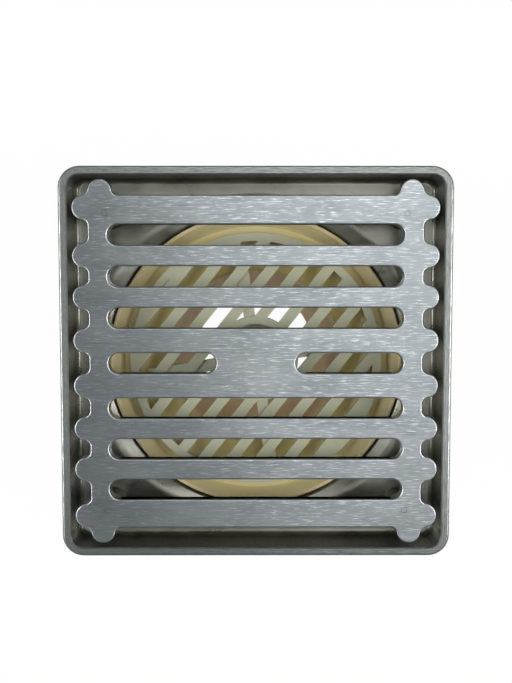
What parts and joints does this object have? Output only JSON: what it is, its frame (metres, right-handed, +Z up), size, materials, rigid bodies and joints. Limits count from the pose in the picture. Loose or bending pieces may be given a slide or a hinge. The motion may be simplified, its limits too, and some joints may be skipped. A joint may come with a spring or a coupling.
{
  "type": "floor drain grate",
  "caption": "Square stainless floor drain with a slotted lift-out grate, a funnel insert and a slatted strainer over an outlet pipe.",
  "frame": {"origin": "centre of the outlet pipe's open end, at the object's base", "axes": "+Z up through the pipe to the rim, +X along the slots of the grate, +Y across them"},
  "size_m": [0.15, 0.15, 0.096],
  "materials": {
    "satin_steel": "satin",
    "brushed_steel": "brushed along the slots",
    "cream_abs": "moulded, low sheen",
    "seal_rubber": "matt"
  },
  "bodies": {
    "drain_body": {"tray": "satin_steel", "well_pot": "satin_steel", "outlet_pipe": "satin_steel", "ledge_seal": "seal_rubber"},
    "grate": {"grate_plate": "brushed_steel", "grate_foot_front_left": "brushed_steel", "grate_foot_front_right": "brushed_steel", "grate_foot_back_left": "brushed_steel", "grate_foot_back_right": "brushed_steel"},
    "insert": {"funnel": "cream_abs"},
    "cap": {"strainer": "cream_abs"}
  },
  "joints": [
    {"name": "grate_lift", "type": "slide", "parent": "drain_body", "child": "grate", "axis": [0, 0, 1], "range_m": [0, 0.2]},
    {"name": "funnel_lift", "type": "slide", "parent": "drain_body", "child": "insert", "axis": [0, 0, 1], "range_m": [0, 0.1]},
    {"name": "strainer_lift", "type": "slide", "parent": "insert", "child": "cap", "axis": [0, 0, 1], "range_m": [0, 0.04]}
  ],
  "couplings": [
    {"joint": "funnel_lift", "follows": "grate_lift", "ratio": 0.5},
    {"joint": "strainer_lift", "follows": "grate_lift", "ratio": 0.2}
  ]
}
